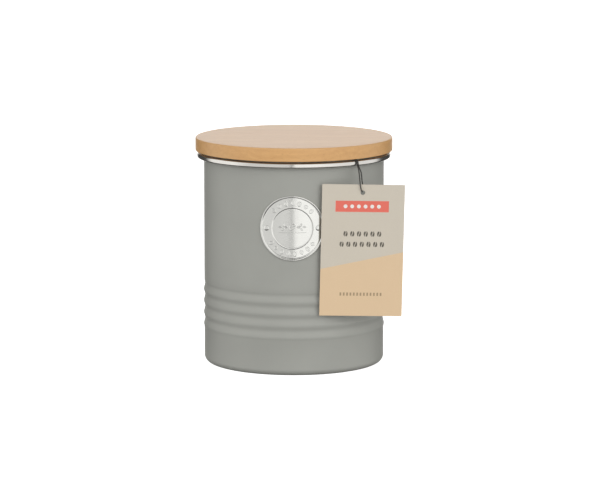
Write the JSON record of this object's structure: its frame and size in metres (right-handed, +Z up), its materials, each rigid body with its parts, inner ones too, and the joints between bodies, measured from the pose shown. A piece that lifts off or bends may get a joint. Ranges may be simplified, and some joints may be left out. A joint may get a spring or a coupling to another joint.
{
  "type": "kitchen canister",
  "caption": "Round coated steel kitchen canister with ribbed lower wall, polished rim, riveted round badge, wooden lid with silicone seal, and a card swing tag on a cord.",
  "frame": {"origin": "centre of the base, on the surface the tin stands on", "axes": "+Z up along the tin's axis, -Y towards the badge (the front), +X to the right of the badge"},
  "size_m": [0.1275, 0.1204, 0.1387],
  "materials": {
    "coated_steel": "satin powder coat",
    "polished_rim": "polished",
    "badge_steel": "embossed, satin polished",
    "rivet_steel": "polished",
    "lid_wood": "oiled, fine straight grain",
    "plug_wood": "sanded",
    "silicone": "matte, slightly translucent",
    "cord": "fine twisted thread",
    "card": "uncoated card, printed"
  },
  "bodies": {
    "tin": {"tin_shell": "coated_steel", "rim_ring": "polished_rim", "badge_plate": "badge_steel", "rivet_left": "rivet_steel", "rivet_right": "rivet_steel", "cord_knot": "cord", "cord_tails": "cord"},
    "seal": {"lid_seal": "silicone"},
    "lid": {"lid_board": "lid_wood", "lid_plug": "plug_wood"},
    "cord": {"cord_loop": "cord"},
    "tag": {"swing_tag": "card"}
  },
  "joints": [
    {"name": "lid_lift", "type": "slide", "parent": "tin", "child": "seal", "axis": [0, 0, 1], "range_m": [0, 0.08]},
    {"name": "lid_turn", "type": "hinge", "parent": "seal", "child": "lid", "pos_m": [0, 0, 0.1306], "axis": [0, 0, 1], "continuous": true},
    {"name": "tag_lift", "type": "hinge", "parent": "tin", "child": "cord", "pos_m": [0.03874, -0.04585, 0.1287], "axis": [-0.9962, -0.0872, 0], "range_deg": [0, 60]},
    {"name": "tag_swing", "type": "hinge", "parent": "cord", "child": "tag", "pos_m": [0.0421, -0.05318, 0.1114], "axis": [0.0872, -0.9962, 0], "range_deg": [-8, 8]}
  ]
}
